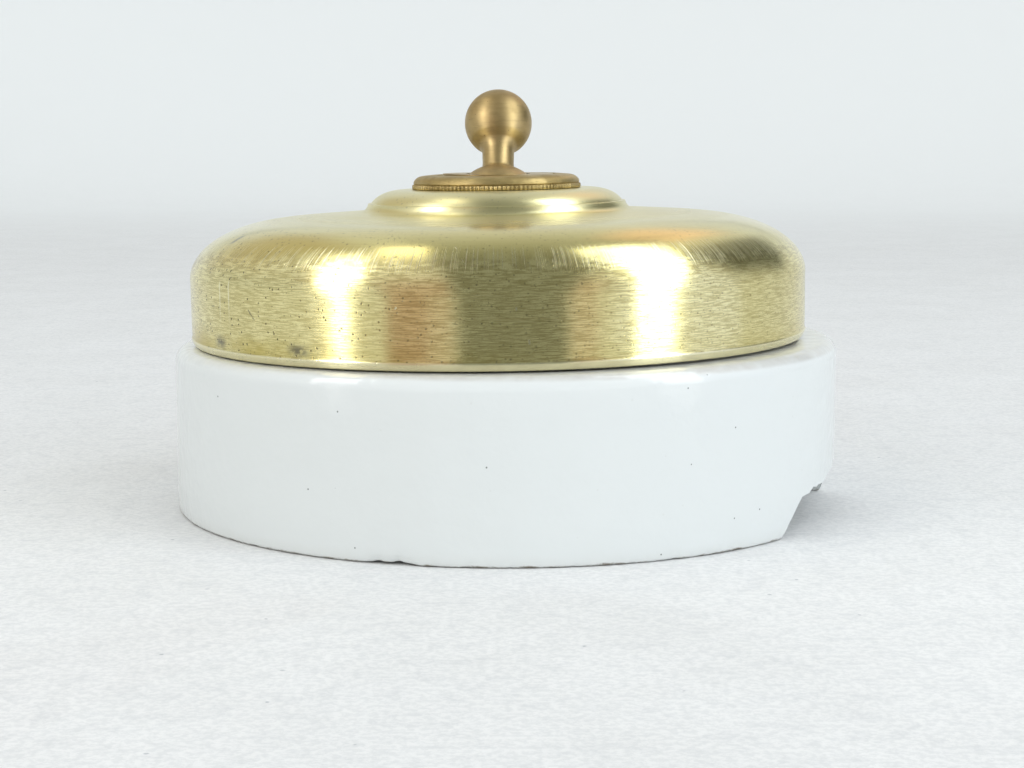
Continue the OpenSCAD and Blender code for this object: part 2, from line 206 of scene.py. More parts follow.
class Paint:
    """A material whose nodes are added with short calls."""

    def __init__(self, name):
        self.mat = bpy.data.materials.new(name)
        self.mat.use_nodes = True
        self.tree = self.mat.node_tree
        self.shader = self.tree.nodes["Principled BSDF"]
        self.coords = self.add("ShaderNodeTexCoord").outputs["Object"]

    def add(self, kind, inputs=None, **settings):
        node = self.tree.nodes.new(kind)
        for key, value in settings.items():
            setattr(node, key, value)
        for key, value in (inputs or {}).items():
            self.feed(node.inputs[key], value)
        return node

    def feed(self, socket, value):
        if isinstance(value, bpy.types.NodeSocket):
            self.tree.links.new(value, socket)
        elif isinstance(value, (tuple, list)) and len(value) == 3 and socket.type == "RGBA":
            socket.default_value = (*value, 1)
        else:
            socket.default_value = value

    def set(self, **inputs):
        for key, value in inputs.items():
            self.feed(self.shader.inputs[key.replace("_", " ")], value)

    def math(self, operation, a, b=0.0):
        return self.add("ShaderNodeMath", {0: a, 1: b}, operation=operation).outputs[0]

    def times(self, a, b):
        return self.math("MULTIPLY", a, b)

    def ramp(self, value, low, high, to_low=0.0, to_high=1.0):
        node = self.add("ShaderNodeMapRange", {"Value": value, "From Min": low, "From Max": high,
                                               "To Min": to_low, "To Max": to_high},
                        interpolation_type="SMOOTHSTEP")
        return node.outputs[0]

    def mix(self, factor, a, b):
        node = self.add("ShaderNodeMix", data_type="RGBA")
        self.feed(node.inputs[0], factor)
        self.feed(node.inputs[6], a)
        self.feed(node.inputs[7], b)
        return node.outputs[2]

    def scaled(self, x, y, z, source=None):
        node = self.add("ShaderNodeVectorMath", {0: source or self.coords, 1: (x, y, z)},
                        operation="MULTIPLY")
        return node.outputs[0]

    def noise(self, scale, detail=3.0, roughness=0.55, vector=None, distortion=0.0):
        node = self.add("ShaderNodeTexNoise", {"Vector": vector or self.coords, "Scale": scale,
                                               "Detail": detail, "Roughness": roughness,
                                               "Distortion": distortion})
        return node.outputs["Fac"]

    def specks(self, scale, size, share=0.3, ragged=0.0):
        """1 inside small spots scattered over the surface, 0 elsewhere."""
        vector = self.coords
        if ragged:
            drift = self.add("ShaderNodeTexNoise", {"Vector": vector, "Scale": scale * 3, "Detail": 2.0})
            shift = self.scaled(ragged, ragged, ragged, drift.outputs["Color"])
            vector = self.add("ShaderNodeVectorMath", {0: vector, 1: shift}, operation="ADD").outputs[0]
        cells = self.add("ShaderNodeTexVoronoi", {"Vector": vector, "Scale": scale})
        pick = self.add("ShaderNodeSeparateColor", {0: cells.outputs["Color"]})
        spot = self.ramp(cells.outputs["Distance"], size * 0.5, size, 1.0, 0.0)
        chosen = self.math("LESS_THAN", pick.outputs[0], share)
        return self.times(spot, chosen)

    def mark(self, start, end, width, soft=0.5, even=0.75):
        """1 along a short straight mark between two points in millimetres, 0 elsewhere."""
        a, b = Vector(start) * MM, Vector(end) * MM
        middle, half = (a + b) / 2, (b - a).length / 2
        wide = width * MM
        offset = self.add("ShaderNodeVectorMath", {0: self.coords, 1: tuple(middle)},
                          operation="SUBTRACT").outputs[0]
        along = self.add("ShaderNodeVectorMath", {0: offset, 1: tuple((b - a).normalized())},
                         operation="DOT_PRODUCT").outputs["Value"]
        far = self.add("ShaderNodeVectorMath", {0: offset}, operation="LENGTH").outputs["Value"]
        square = self.math("SUBTRACT", self.times(far, far), self.times(along, along))
        across = self.math("SQRT", self.math("MAXIMUM", square, 0.0))
        side = self.ramp(across, wide * (1 - soft), wide * (1 + soft), 1.0, 0.0)
        run = self.ramp(self.math("ABSOLUTE", along), half * even, half, 1.0, 0.0)
        return self.times(side, run)

    def turned(self, around, along):
        """Coordinates in which noise runs as fine circles around the Z axis."""
        part = self.add("ShaderNodeSeparateXYZ", {0: self.coords})
        x, y, z = part.outputs[0], part.outputs[1], part.outputs[2]
        r = self.math("SQRT", self.math("ADD", self.times(x, x), self.times(y, y)))
        safe = self.math("MAXIMUM", r, 1e-5)
        cx = self.times(self.math("DIVIDE", x, safe), around)
        cy = self.times(self.math("DIVIDE", y, safe), around)
        # radius and height share one axis, so lines stay circles on walls and on flat tops
        line = self.times(self.math("ADD", r, self.times(z, HEIGHT_SHARE)), along)
        return self.add("ShaderNodeCombineXYZ", {0: cx, 1: cy, 2: line}).outputs[0]

    def bump(self, height, distance, strength=1.0, normal=None):
        inputs = {"Height": height, "Distance": distance, "Strength": strength}
        if normal:
            inputs["Normal"] = normal
        return self.add("ShaderNodeBump", inputs).outputs[0]


# ---------------------------------------------------------------- materials

FLOOR_LOW = (0.800, 0.802, 0.796)
FLOOR_HIGH = (0.835, 0.838, 0.834)
BACKDROP = (0.95, 0.97, 0.97)
PORCELAIN_LOW = (0.752, 0.780, 0.777)
PORCELAIN_HIGH = (0.774, 0.802, 0.800)

BRASS_STROKE_PALE = (0.95, 0.865, 0.455)
BRASS_STROKE_DEEP = (0.66, 0.575, 0.265)
BRASS_GRAIN = (0.46, 0.39, 0.155)
BRASS_CROWN = (0.74, 0.655, 0.275)
BRASS_HAIRS = (0.50, 0.43, 0.17)
BRASS_BLOTCH = (0.60, 0.50, 0.19)
BRASS_TARNISH = (0.56, 0.44, 0.085)
BRASS_SMUDGE = (0.30, 0.21, 0.07)
BRASS_PIT = (0.07, 0.055, 0.02)
BRASS_DOT = (0.20, 0.16, 0.06)
# painted reflection of the porcelain and floor in the rolled rim band
BRASS_RIM_REFLECTION = (0.92, 0.87, 0.60)
BRASS_DARK_MARK = (0.16, 0.15, 0.11)
BRASS_BRIGHT_LINE = (1.0, 0.97, 0.68)
BRASS_SCRATCH = (1.0, 0.97, 0.72)
BRASS_PLATFORM_PALE = (0.80, 0.76, 0.50)

# marks on the cover, as points from the middle of its inside (millimetres)
DARK_SCRATCH = ((-27.54, -13.49, 2.2), (-25.74, -12.03, 3.31))
RIM_SMUDGES = [((-28.8, -16.7, -7.15), (-26.9, -19.6, -7.2)),
               ((-20.7, -26.1, -7.1), (-17.5, -28.4, -7.3))]
CURVED_SCRATCH = ((-24.5, -22.6, -3.5), (-23.7, -23.4, -4.6))
BRIGHT_LINES = [((-27.85, -18.35, -0.6), (-27.7, -18.2, -7.7)),
                ((-26.75, -19.95, 0.4), (-26.6, -19.8, -7.7))]
LONG_SCRATCH = ((-3.79, -29.4, 2.79), (-2.92, -31.66, 1.33))
NICKS = [((5.46, -31.4, 1.27), (5.4, -31.0, 1.75)),
         ((1.94, -33.3, -3.1), (1.94, -33.3, -2.75)),
         ((3.15, -33.2, -6.3), (3.05, -33.2, -5.8)),
         ((-9.5, -32.0, -2.9), (-9.3, -32.0, -2.7))]


def cover_brass():
    """Pale polished sheet brass: fine circular brushing, pits, scratches and faint stains."""
    p = Paint("cover brass")
    place = p.add("ShaderNodeSeparateXYZ", {0: p.coords})
    x, z = place.outputs[0], place.outputs[2]
    strokes = p.noise(1.0, 2.0, 0.6, p.turned(20, 8200))
    grain = p.noise(5200, 2.0, 0.7)
    hairs = p.noise(1.0, 2.0, 0.6, p.turned(4, 9500))
    broad = p.noise(1.0, 2.0, 0.5, p.turned(1.6, 700))
    radial = p.noise(1.0, 2.0, 0.7, p.turned(330, 420))
    blotch = p.noise(80, 4.0, 0.6)
    # pits crowd together on the left half of the wall
    crowd = p.math("ADD", p.ramp(x, -0.030, 0.006, 1.0, 0.35), p.times(blotch, 0.15))
    pits = p.specks(1500, 0.20, share=0.80, ragged=0.00012)
    pits = p.times(pits, crowd)
    dots = p.specks(3000, 0.24, share=0.35)
    # yellow tarnish just above the rolled rim, darker smudges on the shoulder
    low = p.ramp(z, -0.0079, -0.0056, 1.0, 0.0)
    left = p.ramp(x, -0.030, -0.008, 1.0, 0.2)
    tarnish = p.times(p.times(low, left), p.ramp(p.noise(120, 3.0, 0.6), 0.3, 0.6))
    turn = p.ramp(p.math("ABSOLUTE", p.math("SUBTRACT", z, 0.0001)), 0.0002, 0.0015, 1.0, 0.0)
    smudge = p.times(turn, p.ramp(p.noise(75, 3.0, 0.5, distortion=0.3), 0.50, 0.68))
    smudge = p.times(smudge, p.ramp(x, -0.026, -0.014, 1.0, 0.3))
    on_wall = p.ramp(z, -0.0005, 0.0022, 1.0, 0.12)
    brushed = p.mix(p.ramp(strokes, 0.58, 0.42), BRASS_STROKE_PALE, BRASS_STROKE_DEEP)
    brushed = p.mix(p.ramp(grain, 0.52, 0.70, 0.0, 0.36), brushed, BRASS_GRAIN)
    colour = p.mix(p.ramp(z, 0.0008, 0.0026), brushed, BRASS_CROWN)
    colour = p.mix(p.times(p.ramp(hairs, 0.35, 0.7), 0.15), colour, BRASS_HAIRS)
    colour = p.mix(p.times(p.ramp(blotch, 0.45, 0.75), 0.35), colour, BRASS_BLOTCH)
    colour = p.mix(p.times(tarnish, 0.85), colour, BRASS_TARNISH)
    colour = p.mix(p.times(smudge, 0.70), colour, BRASS_SMUDGE)
    colour = p.mix(p.times(pits, 0.9), colour, BRASS_PIT)
    colour = p.mix(p.times(dots, 0.6), colour, BRASS_DOT)
    # painted reflection: the rolled band is painted paler than the wall, for the bright porcelain and
    # floor that it mirrors
    band = p.ramp(z, -0.00805, -0.00790, 1.0, 0.0)
    colour = p.mix(p.times(band, 0.8), colour, BRASS_RIM_REFLECTION)
    dark_marks = p.mark(*DARK_SCRATCH, 0.38, 0.8, 0.3)
    dark_marks = p.math("MAXIMUM", dark_marks, p.mark(*CURVED_SCRATCH, 0.07, 0.6))
    for start, end in RIM_SMUDGES:
        dark_marks = p.math("MAXIMUM", dark_marks, p.mark(start, end, 0.50, 1.0, 0.1))
    torn = p.ramp(p.noise(1500, 4.0, 0.7), 0.3, 0.55)
    colour = p.mix(p.times(p.times(dark_marks, torn), 0.85), colour, BRASS_DARK_MARK)
    for start, end in BRIGHT_LINES:
        colour = p.mix(p.times(p.mark(start, end, 0.10, 0.6), 0.75), colour, BRASS_BRIGHT_LINE)
    bright_marks = p.mark(*LONG_SCRATCH, 0.05, 0.6)
    for start, end in NICKS:
        bright_marks = p.math("MAXIMUM", bright_marks, p.mark(start, end, 0.07, 0.6))
    # short radial scratches where the wall turns into the shoulder
    from_turn = p.math("ABSOLUTE", p.math("SUBTRACT", z, 0.0016))
    ticks = p.times(p.ramp(radial, 0.55, 0.68), p.ramp(from_turn, 0.0003, 0.0014, 1.0, 0.0))
    scratches = p.math("MAXIMUM", ticks, bright_marks)
    colour = p.mix(p.times(scratches, 0.8), colour, BRASS_SCRATCH)
    # the wall is brushed, the crown above it is smoother
    crown = p.ramp(z, 0.0012, 0.0036)
    rough = p.math("ADD", p.ramp(crown, 0.0, 1.0, 0.235, 0.13), p.ramp(broad, 0.25, 0.75, 0.0, 0.04))
    # the platform on top is tinted paler and made rougher
    platform_pale_rough = p.ramp(z, 0.0037, 0.0050)
    colour = p.mix(p.times(platform_pale_rough, 0.55), colour, BRASS_PLATFORM_PALE)
    rough = p.math("ADD", rough, p.times(platform_pale_rough, 0.17))
    rough = p.math("ADD", rough, p.times(p.math("MAXIMUM", smudge, tarnish), 0.06))
    rough = p.math("ADD", rough, p.times(scratches, 0.38))
    tall = p.math("SUBTRACT", p.times(strokes, 0.6), p.times(pits, 1.2))
    tall = p.math("SUBTRACT", tall, p.times(scratches, 1.2))
    normal = p.bump(p.times(tall, on_wall), 0.000012, 0.5)
    normal = p.bump(p.noise(140, 2.0), 0.00010, 0.2, normal)
    tangent = p.add("ShaderNodeTangent", direction_type="RADIAL", axis="Z").outputs[0]
    p.set(Base_Color=colour, Metallic=1.0, Roughness=rough, Normal=normal, Tangent=tangent,
          Anisotropic=p.ramp(crown, 0.0, 1.0, 0.98, 0.45), Anisotropic_Rotation=0.25)
    return p.mat


def old_brass(name, light, dark, rough, pits=0.2):
    """Unpolished brass of the small parts: darker in patches, lightly pitted."""
    p = Paint(name)
    lines = p.noise(500, 3.0, 0.6, p.scaled(1, 1, 6))
    patch = p.noise(260, 4.0, 0.6)
    spots = p.specks(3000, 0.20, share=pits, ragged=0.00008)
    colour = p.mix(p.ramp(patch, 0.35, 0.7), light, dark)
    colour = p.mix(p.times(p.ramp(lines, 0.45, 0.75), 0.35), colour, tuple(c * 0.7 for c in dark))
    colour = p.mix(p.times(spots, 0.7), colour, (0.10, 0.07, 0.035))
    tall = p.math("SUBTRACT", p.times(lines, 0.6), spots)
    p.set(Base_Color=colour, Metallic=1.0, Roughness=p.ramp(patch, 0.3, 0.7, rough - 0.06, rough + 0.1),
          Normal=p.bump(tall, 0.00003, 0.7))
    return p.mat


def glazed_porcelain():
    """Cool white glaze with a few black specks; bare, dirty body along the lower edge."""
    p = Paint("glazed porcelain")
    z = p.add("ShaderNodeSeparateXYZ", {0: p.coords}).outputs[2]
    wobble = p.times(p.math("SUBTRACT", p.noise(260, 4.0, 0.7), 0.5), 0.0009)
    height = p.math("ADD", z, wobble)
    dirt = p.ramp(height, 0.00003, 0.00026, 1.0, 0.0)
    dirt = p.times(dirt, p.ramp(p.noise(700, 3.0, 0.7), 0.35, 0.6, 0.25, 1.0))
    blush = p.ramp(p.math("ADD", z, p.times(wobble, 2.0)), 0.0002, 0.0016, 1.0, 0.0)
    tone = p.mix(p.noise(40, 3.0), PORCELAIN_LOW, PORCELAIN_HIGH)
    tone = p.mix(p.times(blush, 0.07), tone, (0.60, 0.57, 0.48))
    crumbs = p.mix(p.noise(1500, 4.0, 0.7), (0.045, 0.035, 0.022), (0.30, 0.24, 0.16))
    tone = p.mix(p.times(dirt, 0.85), tone, crumbs)
    # painted shade: the top face of the base, shaded by the cover's rim, is greyed with a brownish tone
    painted_top_shade = p.times(p.ramp(z, 0.0174, 0.0178), p.ramp(p.noise(500, 3.0, 0.6), 0.3, 0.7, 0.5, 1.0))
    tone = p.mix(p.times(painted_top_shade, 0.45), tone, (0.50, 0.46, 0.42))
    specks = p.specks(420, 0.045, share=0.5)
    tone = p.mix(p.times(specks, 0.85), tone, (0.09, 0.10, 0.10))
    faint = p.specks(600, 0.09, share=0.3, ragged=0.0002)
    tone = p.mix(p.times(faint, 0.10), tone, (0.45, 0.43, 0.38))
    ripple = p.bump(p.noise(330, 2.0, 0.5), 0.00030, 0.3)
    ripple = p.bump(p.noise(1100, 2.0, 0.5), 0.00010, 0.22, ripple)
    grit = p.bump(p.times(p.noise(2600, 3.0), dirt), 0.0002, 0.8, ripple)
    shine = p.ramp(p.math("ADD", z, p.times(wobble, 0.6)), 0.0168, 0.0172, 0.14, 0.62)
    p.set(Base_Color=tone, Roughness=p.ramp(dirt, 0.0, 1.0, 0.10, 0.8), IOR=1.4,
          Specular_IOR_Level=shine, Normal=grit)
    return p.mat


def fibre():
    p = Paint("vulcanised fibre")
    grain = p.noise(900, 5.0, 0.7)
    colour = p.mix(grain, (0.16, 0.045, 0.028), (0.26, 0.085, 0.05))
    p.set(Base_Color=colour, Roughness=p.ramp(grain, 0.2, 0.8, 0.6, 0.8),
          Normal=p.bump(grain, 0.00004, 0.6))
    return p.mat


def ebonite(name, low, high, rough):
    p = Paint(name)
    mottled = p.noise(420, 4.0, 0.6)
    fine = p.noise(3200, 3.0)
    p.set(Base_Color=p.mix(mottled, low, high), Roughness=p.ramp(mottled, 0.3, 0.7, rough, rough + 0.15),
          Normal=p.bump(fine, 0.00003, 0.6))
    return p.mat


def drawn_steel(name, tint):
    p = Paint(name)
    streaks = p.noise(1.0, 4.0, 0.6, p.scaled(600, 4200, 4200))
    colour = p.mix(streaks, tuple(c * 0.7 for c in tint), tint)
    p.set(Base_Color=colour, Metallic=1.0, Roughness=p.ramp(streaks, 0.3, 0.7, 0.28, 0.42),
          Normal=p.bump(streaks, 0.00002, 0.6))
    return p.mat


def copper():
    p = Paint("contact copper")
    tint = p.noise(190, 3.0, 0.6)
    lines = p.noise(1.0, 3.0, 0.6, p.scaled(400, 5200, 5200))
    colour = p.mix(p.ramp(tint, 0.35, 0.7), (0.66, 0.33, 0.19), (0.44, 0.22, 0.15))
    p.set(Base_Color=colour, Metallic=1.0, Roughness=p.ramp(lines, 0.3, 0.7, 0.25, 0.4),
          Normal=p.bump(lines, 0.00002, 0.6))
    return p.mat


# ---------------------------------------------------------------- pieces


def edge_noise(angle, scale, seed):
    """Noise that runs around the base without a seam."""
    return noise.noise(Vector((math.cos(angle) * scale, math.sin(angle) * scale, seed)))


def chip_height(angle):
    """How far the lower edge is chipped away at this angle, in millimetres."""
    crumbs = max(0.0, edge_noise(angle, 34, 3.1) - 0.10) * 0.5
    bites = max(0.0, edge_noise(angle, 9, 8.7) - 0.34) * 1.5
    return crumbs * (0.2 + bites) + bites * 0.45 + 0.03 * abs(edge_noise(angle, 80, 5.0))


# the top edge of the break-out, as (distance across, height)
BREAK_OUT = [(-14.3, 0), (-13.9, 0.5), (-10.7, 3.9), (-9.6, 3.85), (-7.8, 4.2), (-4.4, 4.25),
             (-2.8, 4.75), (-0.9, 4.95), (2, 5.4), (5, 5.5), (8.5, 4.9), (10, 3.9), (11.6, 3.4),
             (13.6, 0)]


def break_out_cutter():
    """A rough-topped wedge that breaks the cable entry out of the lower edge of the wall."""
    inner, outer = HOLLOW_R - 1.5, BASE_R + 2
    across, deep = 150, 28
    bm = bmesh.new()
    tops, bottoms = [], []
    for i in range(across + 1):
        s = (len(BREAK_OUT) - 1) * i / across
        k = min(int(s), len(BREAK_OUT) - 2)
        f = s - k
        t = BREAK_OUT[k][0] * (1 - f) + BREAK_OUT[k + 1][0] * f
        z = BREAK_OUT[k][1] * (1 - f) + BREAK_OUT[k + 1][1] * f
        top_row, bottom_row = [], []
        for j in range(deep + 1):
            r = inner + (outer - inner) * j / deep
            rough = 0.30 * noise.noise(Vector((t * 0.75, r * 0.55, 4.2)))
            rough += 0.13 * noise.noise(Vector((t * 2.4, r * 1.6, 9.2)))
            lift = smoothstep(0, 1.5, z)
            top_row.append(bm.verts.new((r * MM, (t + rough * (1 - lift)) * MM,
                                         (z + rough * lift) * MM if z > 0 else 0)))
            bottom_row.append(bm.verts.new((r * MM, t * MM, -1.5 * MM)))
        tops.append(top_row)
        bottoms.append(bottom_row)
    for i in range(across):
        for j in range(deep):
            bm.faces.new([tops[i][j], tops[i + 1][j], tops[i + 1][j + 1], tops[i][j + 1]])
            bm.faces.new([bottoms[i][j], bottoms[i][j + 1], bottoms[i + 1][j + 1], bottoms[i + 1][j]])
        for j in (0, deep):
            bm.faces.new([tops[i][j], bottoms[i][j], bottoms[i + 1][j], tops[i + 1][j]])
    for i in (0, across):
        for j in range(deep):
            bm.faces.new([tops[i][j], tops[i][j + 1], bottoms[i][j + 1], bottoms[i][j]])
    bmesh.ops.recalc_face_normals(bm, faces=bm.faces[:])
    mesh = finished_mesh(bm, "break_out_cutter")
    mesh.transform(Matrix.Rotation(NOTCH_ANGLE, 4, "Z"))
    return add_object("break_out_cutter", mesh)


def make_base():
    profile = [(0, HOLLOW_H), (10, HOLLOW_H), (20, HOLLOW_H)]
    profile += arc(HOLLOW_R - 1, HOLLOW_H - 1, 1, 1, 90, 0, 5)
    profile += [(HOLLOW_R, 4), (HOLLOW_R, 2), (HOLLOW_R, 0.4), (HOLLOW_R + 0.3, 0.08),
                (HOLLOW_R + 1, 0), (33, 0), (34.6, 0), (BASE_R - 0.5, 0)]
    profile += arc(BASE_R - 0.5, 0.35, 0.34, 0.35, 285, 350, 5)
    profile += [(BASE_R - 0.12, 0.7), (BASE_R - 0.09, 1.1), (BASE_R - 0.07, 1.7), (BASE_R - 0.03, 2.5),
                (BASE_R, 3.6)]
    profile += [(BASE_R, 3.6 + 1.3 * i) for i in range(1, 9)]
    profile += arc(BASE_R - BASE_EDGE, BASE_H - BASE_EDGE, BASE_EDGE, BASE_EDGE, 4, 88, 12)
    profile += [(32.5, BASE_H + 0.02), (31.6, BASE_H), (SPIGOT_R + 0.15, BASE_H + 0.05),
                (SPIGOT_R, BASE_H + 0.25), (SPIGOT_R, 19), (SPIGOT_R, SPIGOT_TOP - 0.6)]
    profile += arc(SPIGOT_R - 0.6, SPIGOT_TOP - 0.6, 0.6, 0.6, 15, 90, 4)
    profile += arc(WELL_R + 0.5, SPIGOT_TOP - 0.5, 0.5, 0.5, 90, 180, 4)
    profile += [(WELL_R, 16), (WELL_R, FLOOR_Z + 1)]
    profile += arc(WELL_R - 0.8, FLOOR_Z + 0.8, 0.8, 0.8, -15, -90, 4)
    profile += [(18, FLOOR_Z), (9, FLOOR_Z), (0, FLOOR_Z)]
    base = lathe("porcelain_body", profile, 900, closed=False)
    shape_lower_edge(base)
    slope_top(base)
    cutters = [break_out_cutter()]
    for side in (-1, 1):
        y = side * WALL_SCREW_Y
        cutters.append(cylinder_cutter(WALL_SCREW_R, 0, THROUGH, 0, y))
        cutters.append(cylinder_cutter(WALL_SCREW_R, FLOOR_Z - 2, FLOOR_Z + 0.1, 0, y,
                                       top_radius=WALL_SCREW_HEAD_R))
        x = MECH_X + side * TERMINAL_X
        cutters.append(cylinder_cutter(CABLE_HOLE_R, 0, THROUGH, x, -TERMINAL_Y))
        cutters.append(cylinder_cutter(SMALL_SCREW_R, 0, THROUGH, x, TERMINAL_Y))
        cutters.append(cylinder_cutter(TERMINAL_RECESS_R, 0, TERMINAL_RECESS_TOP, x, TERMINAL_Y))
        x = MECH_X + side * BRIDGE_SCREW_X
        cutters.append(cylinder_cutter(SMALL_SCREW_R, 0, THROUGH, x, 0))
        cutters.append(cylinder_cutter(NUT_RECESS_R, 0, NUT_RECESS_TOP, x, 0))
    cut(base, cutters)
    base.data.materials.append(glazed_porcelain())
    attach(base, "housing")
    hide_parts("porcelain_base")


def shape_lower_edge(base):
    """Chips the lower outer edge and makes the glazed wall slightly uneven."""
    for v in base.data.vertices:
        x, y, z = v.co / MM
        r = math.hypot(x, y)
        if r < 32.5:
            continue
        a = math.atan2(y, x)
        near = smoothstep(33.8, 35.2, r) * smoothstep(1.3, 0.2, z)
        if near > 0:
            up = chip_height(a) * near
            v.co.z += up * MM
            v.co.xy *= 1 - 0.5 * up * near / r
        swell = noise.noise(Vector((x * 0.09, y * 0.09, z * 0.16)))
        swell = 0.05 * swell - 0.055
        ripple = 0.012 * noise.noise(Vector((x * 0.5, y * 0.5, z * 0.4 + 7)))
        v.co.xy *= 1 + (swell + ripple) / r
        if z > BASE_H - 1.2:
            v.co.z += 0.03 * noise.noise(Vector((x * 0.25, y * 0.25, 2))) * MM


def slope_top(base):
    """The top of the base was never quite level: it rises toward +X."""
    for v in base.data.vertices:
        v.co.z += v.co.x * BASE_SLOPE * smoothstep(6.5, 14.5, v.co.z / MM)


# rolled band at the rim, as (out from the cover's radius, up from the rim):
# it leans in toward the bottom and has a soft upper lip
RIM_BAND = [(-0.42, 0.01), (-0.33, 0.07), (-0.26, 0.18), (-0.13, 0.42), (-0.05, 0.60), (0, 0.72),
            (-0.015, 0.79), (-0.07, 0.86), (-0.10, 0.96), (-0.10, 1.2)]


def tilted():
    """Where the leaning cover and its ring sit."""
    return Matrix.Translation(TILT_PIVOT * MM) @ Matrix.Rotation(-COVER_TILT, 4, "Y")


def make_cover():
    inside = arc(COVER_R - SHOULDER_W, WALL_Z, SHOULDER_W - COVER_T, SHOULDER_H - COVER_T, 0, 84, 20)
    inside += arc(PLATFORM_R + 1.1 - COVER_T, PLATFORM_Z + 1.1 - COVER_T, 1.1, 1.1, 265, 190, 8)
    inside += arc(PLATFORM_R - 3.6, PLATFORM_Z, 3.6 - COVER_T, PLATFORM_H - COVER_T, 24, 90, 8)
    inside += [(6.6, RING_Z - COVER_T)]
    outside = [(COVER_R + out, RIM_Z + up) for out, up in RIM_BAND]
    outside += [(COVER_R - 0.07, RIM_Z + 1.2 + 1.08 * i) for i in range(1, 6)]
    outside += arc(COVER_R - SHOULDER_W, WALL_Z, SHOULDER_W - 0.05, SHOULDER_H, 0, 84, 36)
    outside += arc(PLATFORM_R + 1.1, PLATFORM_Z + 1.1, 1.1, 1.1, 265, 190, 10)
    outside += arc(PLATFORM_R - 3.6, PLATFORM_Z, 3.6, PLATFORM_H, 24, 90, 14)
    outside += [(6.6, RING_Z)]
    profile = [(COVER_R - COVER_T, RIM_Z)] + outside + inside[::-1]
    profile = [(r, z - TILT_PIVOT.z) for r, z in profile]
    cover = lathe("cover_shell", profile, 512)
    # barely visible unevenness of the thin sheet
    for v in cover.data.vertices:
        x, y, z = v.co / MM
        v.co *= 1 + 0.0009 * noise.noise(Vector((x * 0.07, y * 0.07, z * 0.12 + 3)))
    cover.matrix_world = tilted()
    cover.data.materials.append(cover_brass())
    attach(cover, "housing")
    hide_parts("brass_cover")


def make_ring(material):
    low = RING_Z - TILT_PIVOT.z
    top = low + RING_H
    profile = [(RING_HOLE_R, low), (RING_R - 0.2, low), (RING_R - 0.04, low + 0.06),
               (RING_R, low + 0.14), (RING_R, low + KNURL_H - 0.12), (RING_R - 0.05, low + KNURL_H)]
    knurled = range(1, 6)
    profile += [(RING_R - 0.22, low + KNURL_H + 0.06)]
    profile += arc(RING_R - 1.35, low + KNURL_H + 0.1, 1.2, RING_H - KNURL_H - 0.18, 5, 82, 10)
    profile += [(RING_HOLE_R + 0.6, top), (RING_HOLE_R + 0.12, top - 0.02), (RING_HOLE_R, top - 0.14)]

    def knurl(index, r, angle):
        if index not in knurled:
            return r + 0.012 * edge_noise(angle, 18, index * 0.4)
        tooth = abs(math.sin(angle * KNURLS / 2 + 0.7 * edge_noise(angle, 3, 1.7)))
        depth = 0.10 + 0.09 * edge_noise(angle, 5, 2.2)
        return r - depth * (1 - tooth) ** 1.5 + 0.02 * edge_noise(angle, 40, index * 0.7) - 0.02

    ring = lathe("ring_body", profile, KNURLS * 10, radius_at=knurl)
    ring.matrix_world = tilted()
    ring.data.materials.append(material)
    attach(ring, "housing")
    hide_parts("locking_ring")


def make_dolly(material):
    """Skirt, shaft and ball turned in one piece, with soft fillets between them."""
    profile = [(0, -TAIL_END), (TAIL_R - 0.15, -TAIL_END), (TAIL_R, -TAIL_END + 0.15),
               (TAIL_R, -TAIL_CUT)]
    cut_angle = -math.degrees(math.asin(TAIL_CUT / SKIRT_R))
    profile += arc(0, 0, SKIRT_R, SKIRT_R, cut_angle, 63, 30)
    profile += arc(SHAFT_R + 0.55, SKIRT_R + 0.28, 0.55, 0.75, 250, 185, 8)
    profile += [(SHAFT_R, SKIRT_R + 0.6), (SHAFT_R - 0.03, SKIRT_R + 1.1), (SHAFT_R, SKIRT_R + 1.8)]
    join = math.degrees(math.asin(2.75 / BALL_R))
    profile += arc(SHAFT_R + 1.3, BALL_L - 4.25, 1.3, 1.65, 175, 128, 9)
    profile += arc(0, BALL_L, BALL_R, BALL_R, -90 + join + 2, 90, 36)
    profile[-1] = (0, BALL_L + BALL_R)
    dolly = lathe("dolly_lever", profile, 160, closed=False, sharp=50)
    cutter = cylinder_cutter(PIN_HOLE_R, -8, 8, segments=48)
    cutter.data.transform(Matrix.Rotation(math.pi / 2, 4, "Y"))
    cut(dolly, [cutter])
    leaning = Matrix.Translation(Vector((MECH_X, 0, PIVOT_Z)) * MM) @ Matrix.Rotation(-THROW, 4, "X")
    dolly.data.transform(leaning)
    dolly.data.materials.append(material)
    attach(dolly, "lever")
    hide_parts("dolly")


# ---------------------------------------------------------------- stage

# the floor lies this far below the base, so that the two faces never share a plane
FLOOR_GAP = 0.03
FLOOR_FLAT = 780
FLOOR_BEND = 330
FLOOR_WALL = 520


